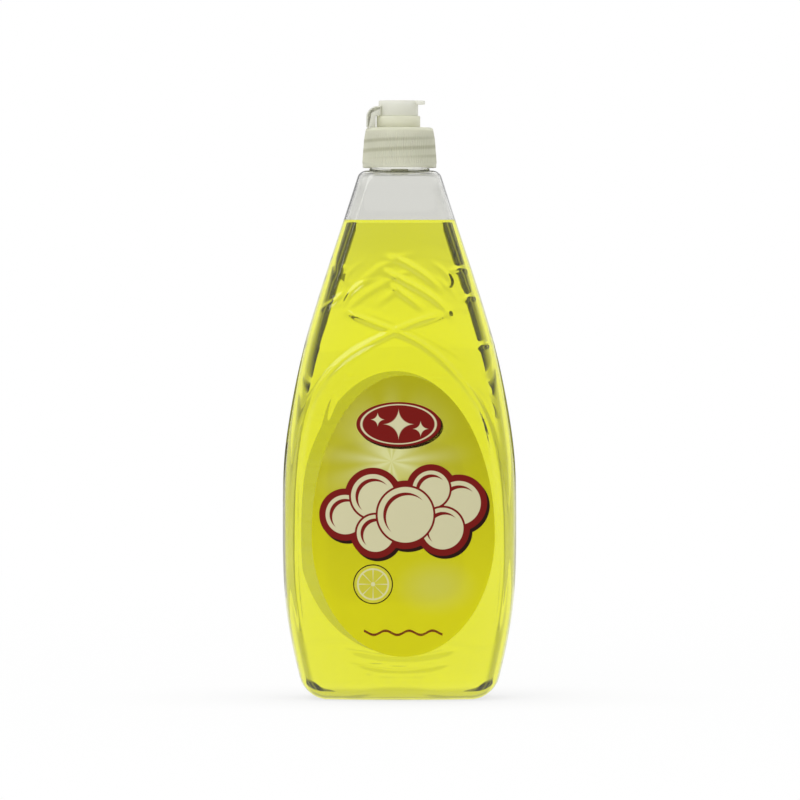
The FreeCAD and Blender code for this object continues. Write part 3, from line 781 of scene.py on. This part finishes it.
def cap_plastic():
    """A painted highlight above the skirt, and painted shade in bands where the inner thread thickens the
    skirt.
    """
    look = Look("cap_plastic")
    x, y, z = look.place()
    cloud = look.noise(120.0, 3.0)
    base = look.mix(cloud, *CAP_TINTS)
    climb = z - y.angle(x) * (PITCH / (2 * math.pi)) - CAP_THREAD[0]
    thread_shadow = climb.wrap(-PITCH / 2, PITCH / 2).size().below(0.75, 0.6)
    skirt = z.below(SKIRT_FOOT + 13.0, 1.2) * (z.below(SKIRT_FOOT + 4.5, 1.2) * -1.0 + 1.0)
    # painted shade: darker bands along the inner thread's helix on the ribbed skirt
    base = look.mix(thread_shadow * skirt * 0.75, base, THREAD_SHADE)
    # painted highlight: the deck and everything above it lighter, as if lit from above
    base = look.mix(z.below(DECK - DECK_THICKNESS, 0.5) * -1.0 + 1.0, base, DECK_HIGHLIGHT)
    return cloudy(look, cloud, base, 0.2)


def foam():
    look = Look("foam")
    grain = look.noise(900.0, 2.0)
    shader = look.add(
        "ShaderNodeBsdfPrincipled",
        Base_Color=look.mix(grain, colour(232, 232, 226), colour(244, 244, 240)),
        Roughness=0.8,
        Normal=look.bump(grain, 0.2, 0.0003),
    )
    return look.done(shader.outputs[0])


CAP_TINTS = (colour(250, 250, 233), colour(241, 241, 222))
# The painted shade of the thread bands in the cap's skirt
THREAD_SHADE = colour(210, 210, 184)
# The painted highlight on the cap's deck and above
DECK_HIGHLIGHT = colour(255, 255, 238)
LID_TINTS = (colour(252, 252, 246), colour(246, 246, 238))
DARK_RED = colour(128, 8, 0)
NEAR_BLACK = colour(46, 14, 0)
CREAM = colour(218, 213, 172)

# The print's bubbles: place across and up from the label's middle, and radius
BUBBLES = (
    (-25.0, 1.0, 8.5),
    (24.0, 6.0, 9.5),
    (-13.0, 9.0, 9.5),
    (12.0, 12.0, 8.0),
    (17.0, -5.0, 9.0),
    (-12.0, -7.0, 8.0),
    (1.0, 1.0, 12.0),
)


def film(look, print_colour, bare, through_ink):
    """Printed clear film: some light comes through the ink, and most where the film is bare."""
    gloss = look.add(
        "ShaderNodeBsdfPrincipled",
        Base_Color=print_colour,
        Roughness=0.3,
        IOR=1.4,
    )
    through = look.add("ShaderNodeBsdfTranslucent", Color=print_colour)
    clear = look.add("ShaderNodeBsdfTransparent", Color=(0.98, 0.98, 0.86, 1.0))
    ink = look.blend(through_ink, gloss.outputs[0], through.outputs[0])
    return look.done(look.blend(bare, ink, clear.outputs[0]))


def round_from(x, z, middle_x, middle_z, wide=1.0, tall=1.0):
    """The distance from a point, squeezed so that an ellipse is a circle."""
    across = (x - middle_x) / wide
    up = (z - middle_z) / tall
    return (across * across + up * up).root()


def sparkle(x, z, middle_x, middle_z, reach):
    """A four-pointed star."""
    across = ((x - middle_x) / reach).size().power(0.55)
    up = ((z - middle_z) / reach).size().power(0.55)
    return (across + up).below(1.0, 0.06)


def front_print():
    look = Look("front_print")
    x, _, z = look.place()
    x = x - LABEL_SHIFT
    z = z - PRINT_MIDDLE
    edge = 0.12
    # ground: olive at the top, brighter below
    ground = look.mix(z.below(10.0, 60.0), colour(188, 183, 0), colour(236, 231, 4))
    # a pale glow with rays behind the bubbles
    turn = (z - 24.0).angle(x + 5.0)
    rays = (turn * 9.0 + (turn * 4.0).sine() * 1.7).sine() * 0.5 + 0.5
    reach = round_from(x, z, -5.0, 24.0)
    glow = reach.below(15.0, 25.0) * (rays * 0.6 + 0.25) + reach.below(9.0, 10.0) * 0.5
    ground = look.mix(glow.least(1.0), ground, colour(240, 240, 176))
    haze = round_from(x, z, 14.0, -30.0, 16.0, 11.0).below(0.7, 0.6)
    ground = look.mix(haze * 0.5, ground, colour(228, 228, 120))

    # the foam: bubbles outlined in dark red over a near-black edge
    shade = red = None
    for across, up, radius in BUBBLES:
        far = round_from(x, z, across + 1.1, up - 1.3).below(radius + 2.8, edge)
        near = round_from(x, z, across, up).below(radius + 2.8, edge)
        shade = far if shade is None else shade.most(far)
        red = near if red is None else red.most(near)
    ground = look.mix(shade, ground, NEAR_BLACK)
    ground = look.mix(red, ground, DARK_RED)
    ink = shade.most(red)
    for across, up, radius in BUBBLES:
        reach = round_from(x, z, across, up)
        ground = look.mix(reach.below(radius + 0.9, edge), ground, DARK_RED)
        ground = look.mix(reach.below(radius, edge), ground, CREAM)
        shifted = round_from(x, z, across + 1.2, up - 1.2).below(radius * 0.8, edge)
        crescent = reach.below(radius * 0.8, edge) * (shifted * -1.0 + 1.0)
        ground = look.mix(crescent, ground, DARK_RED)

    # a dark red medallion with a cream line and three stars, near the top
    plate = round_from(x, z, -2.0, 40.0, 1.9, 1.0)
    ground = look.mix(round_from(x, z, -1.0, 38.9, 1.9, 1.0).below(9.6, edge), ground, NEAR_BLACK)
    ground = look.mix(plate.below(9.6, edge), ground, DARK_RED)
    ink = ink.most(plate.below(9.8, edge))
    ground = look.mix(plate.below(8.7, edge), ground, CREAM)
    ground = look.mix(plate.below(8.2, edge), ground, DARK_RED)
    for across, up, reach in ((-2.0, 40.0, 6.8), (-11.0, 42.0, 3.2), (7.5, 38.0, 3.6)):
        ground = look.mix(sparkle(x, z, across, up, reach), ground, CREAM)

    # a halved fruit, low on the left
    slice_x, slice_z = -13.0, -29.0
    reach = round_from(x, z, slice_x, slice_z)
    turn = (z - slice_z).angle(x - slice_x)
    spoke = (turn * 4.0).sine().size()
    ground = look.mix(reach.below(8.6, edge), ground, NEAR_BLACK)
    ground = look.mix(reach.below(8.1, edge), ground, colour(232, 226, 60))
    ground = look.mix(reach.below(6.9, edge), ground, colour(240, 238, 190))
    flesh = reach.below(6.2, edge) * (spoke.below(0.16, 0.06) * -1.0 + 1.0)
    flesh = flesh * (reach.below(0.9, edge) * -1.0 + 1.0)
    ground = look.mix(flesh, ground, colour(228, 222, 70))

    # a thin dark red wave along the foot
    wave = (z + 50.0 - (x * 0.62).sine() * 0.9).size().below(0.55, edge)
    ground = look.mix(wave * x.size().below(17.0, edge), ground, DARK_RED)
    return film(look, ground, ink * -0.3 + 0.3, 0.2)


def back_print():
    look = Look("back_print")
    x, _, z = look.place()
    x = x + LABEL_SHIFT
    z = z - PRINT_MIDDLE
    edge = 0.12
    ground = look.mix(z.below(10.0, 60.0), colour(204, 200, 14), colour(224, 223, 50))
    panel = (x.size() / 27.0).power(6.0) + ((z + 4.0).size() / 34.0).power(6.0)
    ground = look.mix(panel.below(1.06, 0.03), ground, DARK_RED)
    ground = look.mix(panel.below(0.94, 0.03), ground, CREAM)
    lines = (z.wrap(-1.6, 1.6).size()).below(0.42, edge) * x.size().below(22.0, edge)
    lines = lines * (z + 4.0).size().below(28.0, edge)
    ground = look.mix(lines, ground, colour(150, 60, 34))
    return film(look, ground, panel.below(1.06, 0.03) * -0.75 + 0.8, 0.6)


# Stage

def make_floor():
    bpy.ops.mesh.primitive_plane_add(size=8.0)
    floor = bpy.context.object
    floor.name = "floor"
    look = Look("pale_floor")
    grain = look.noise(3.0, 2.0)
    x, y, _ = look.place()
    pale = look.mix(grain, (0.84, 0.84, 0.84, 1.0), (0.86, 0.86, 0.86, 1.0))
    plain = look.add("ShaderNodeBsdfDiffuse", Color=pale)
    ray = look.add("ShaderNodeLightPath")
    camera = Shade(look.tree, ray.outputs["Is Camera Ray"])
    passed = Shade(look.tree, ray.outputs["Is Transmission Ray"])
    bent = passed.most(Shade(look.tree, ray.outputs["Is Glossy Ray"]))
    mirrored = bent - passed
    # the shadow shows close to the bottle, and far off the floor runs into the backdrop;
    # bent rays see it a little greyer under the bottle, far off and in front
    away = (x * x / 4.0 + y * y).root()
    share = away.below(45.0, 40.0) * -0.22 - away.below(500.0, 450.0) * 0.05 + 1.0
    under = away.below(14.0, 6.0) * -0.12 + 1.0
    level = bent * (away.below(1100.0, 500.0) * 0.14 - 0.16) + 1.0
    dimmed = mirrored * FRONT_DIM_FLOOR + passed * FRONT_DIM_PASSED
    level = level * (dimmed * y.below(-20.0, 20.0) * -1.0 + 1.0)
    level = level * (bent * away.below(330.0, 120.0) * -0.16 + 1.0)
    bright = look.add("ShaderNodeEmission", Color=(1.0, 1.0, 1.0, 1.0), Strength=level)
    seen = camera * share + bent * under
    floor.data.materials.append(look.done(look.blend(seen, plain.outputs[0], bright.outputs[0])))


def make_flag(name, side):
    """A dark card that only bent and mirrored rays meet."""
    points = [(side * x, FLAG_BEHIND, z) for x, z in FLAG]
    mesh = bpy.data.meshes.new(name)
    mesh.from_pydata(points, [], [tuple(range(len(points)))])
    flag = bpy.data.objects.new(name, mesh)
    bpy.context.scene.collection.objects.link(flag)
    look = Look(name)
    weave = look.noise(60.0, 2.0)
    dark = look.mix(weave, (0.01, 0.01, 0.01, 1.0), (0.03, 0.03, 0.03, 1.0))
    cloth = look.add("ShaderNodeBsdfDiffuse", Color=dark)
    x, _, z = look.place()
    # glowing streaks up the cloth, and a glowing lower edge, as light that bent rays meet
    streak = ((x.size() + z * 0.3) * 0.085).sine().most(0.0).power(2.0) * 0.32
    pale = look.add("ShaderNodeEmission", Color=(1.0, 1.0, 1.0, 1.0), Strength=0.8)
    shine = streak.most(z.below(76.0, 14.0) * 0.62)
    mesh.materials.append(look.done(look.blend(shine, cloth.outputs[0], pale.outputs[0])))
    flag.visible_camera = False
    flag.visible_diffuse = False
    flag.visible_shadow = False


def make_screen():
    """A screen behind the flags, also met by bent rays alone: pale low down and greyer above."""
    around = ((-1, SCREEN_FOOT), (1, SCREEN_FOOT), (1, SCREEN_TOP), (-1, SCREEN_TOP))
    corners = [(side * SCREEN_HALF_WIDTH, SCREEN_BEHIND, z) for side, z in around]
    mesh = bpy.data.meshes.new("screen")
    mesh.from_pydata(corners, [], [(0, 1, 2, 3)])
    screen = bpy.data.objects.new("screen", mesh)
    bpy.context.scene.collection.objects.link(screen)
    look = Look("screen")
    x, _, z = look.place()
    level = z.below(128.0, 30.0) * 0.22 + 0.74
    level = level * (z.below(250.0, 25.0) * 0.32 + 0.68)
    # beside the middle it is greyer low down, and its two ends are white
    beside = (x.size() - 190.0).size().below(60.0, 35.0) * z.below(88.0, 14.0)
    level = level * (beside * -0.36 + 1.0)
    ends = x.size().below(300.0, 30.0) * -1.0 + 1.0
    level = level + ends * (level * -1.0 + 1.0)
    light = look.add("ShaderNodeEmission", Color=(1.0, 1.0, 1.0, 1.0), Strength=level)
    mesh.materials.append(look.done(light.outputs[0]))
    screen.visible_camera = False
    screen.visible_diffuse = False
    screen.visible_shadow = False


def make_world():
    """A pale studio. Bent and mirrored rays see its backdrop greyer, most of all a little way up."""
    world = bpy.data.worlds.new("studio")
    world.use_nodes = True
    tree = world.node_tree
    tree.nodes.clear()
    output = tree.nodes.new("ShaderNodeOutputWorld")
    background = tree.nodes.new("ShaderNodeBackground")
    tree.links.new(background.outputs[0], output.inputs[0])
    split = tree.nodes.new("ShaderNodeSeparateXYZ")
    tree.links.new(tree.nodes.new("ShaderNodeTexCoord").outputs["Generated"], split.inputs[0])
    x, y, z = (Shade(tree, out) for out in split.outputs)
    ray = tree.nodes.new("ShaderNodeLightPath")
    passed = Shade(tree, ray.outputs["Is Transmission Ray"])
    bent = passed.most(Shade(tree, ray.outputs["Is Glossy Ray"]))
    mirrored = bent - passed
    low = z.below(0.04, 0.02)
    high = z.below(0.42, 0.08) * -1.0 + 1.0
    backdrop = low * (BACKDROP_LOW - BACKDROP_HIGH) + high * 0.55 + BACKDROP_HIGH
    straight = (x.size() / y.size().most(0.001)).below(0.9, 0.25)
    backdrop = straight * (backdrop - BACKDROP_SIDE) + BACKDROP_SIDE
    dimmed = mirrored * FRONT_DIM_WORLD + passed * FRONT_DIM_PASSED
    backdrop = backdrop * (dimmed * y.below(0.0, 0.2) * -1.0 + 1.0)
    strength = bent * (backdrop - 1.0) + 1.0
    tree.links.new(strength.socket, background.inputs["Strength"])
    background.inputs["Color"].default_value = (1.0, 1.0, 1.0, 1.0)
    bpy.context.scene.world = world


def make_lamp(name, place, power, size):
    data = bpy.data.lights.new(name, "AREA")
    data.energy = power
    data.size = size
    lamp = bpy.data.objects.new(name, data)
    lamp.location = place
    lamp.rotation_euler = (Vector((0, 0, 0.13)) - Vector(place)).to_track_quat("-Z", "Y").to_euler()
    bpy.context.scene.collection.objects.link(lamp)


def make_camera():
    """A long lens, a little above level: the photo's frame is square, 800 pixels a side."""
    frame_pixels = 800
    object_pixels = 597
    object_top = 101
    object_middle = 399.5
    data = bpy.data.cameras.new("camera")
    data.sensor_width = 36.0
    data.lens = 250.0
    camera = bpy.data.objects.new("camera", data)
    width = 0.260 * frame_pixels / object_pixels
    distance = width * data.lens / data.sensor_width
    tilt = math.radians(1.5)
    middle_row = object_top + object_pixels / 2
    aim = Vector((
        (frame_pixels / 2 - object_middle) * width / frame_pixels,
        0.0,
        0.130 + (middle_row - frame_pixels / 2) * width / frame_pixels,
    ))
    camera.location = aim + Vector((0.0, -math.cos(tilt), math.sin(tilt))) * distance
    camera.rotation_euler = (aim - camera.location).to_track_quat("-Z", "Y").to_euler()
    bpy.context.scene.collection.objects.link(camera)
    bpy.context.scene.camera = camera


def dress(piece, material, body, node):
    piece.data.materials.append(material)
    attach(piece, body)
    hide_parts(node)


dress(make_bottle(), clear_plastic(), "bottle", "bottle")
dress(make_liquid(), yellow_liquid(), "bottle", "detergent")
dress(make_label("front_film", -1), front_print(), "bottle", "front_label")
dress(make_label("back_film", 1), back_print(), "bottle", "back_label")
dress(make_seal(), foam(), "seal", "seal_liner")
dress(make_cap(), cap_plastic(), "cap", "cap_body")
dress(make_lid(), lid_plastic(), "lid", "flip_lid")

make_floor()
make_flag("flag_left", -1)
make_flag("flag_right", 1)
make_screen()
make_world()
make_lamp("key_lamp", (-0.8, -1.2, 1.1), 6.0, 0.9)
make_camera()
bpy.context.scene.view_settings.view_transform = "Standard"
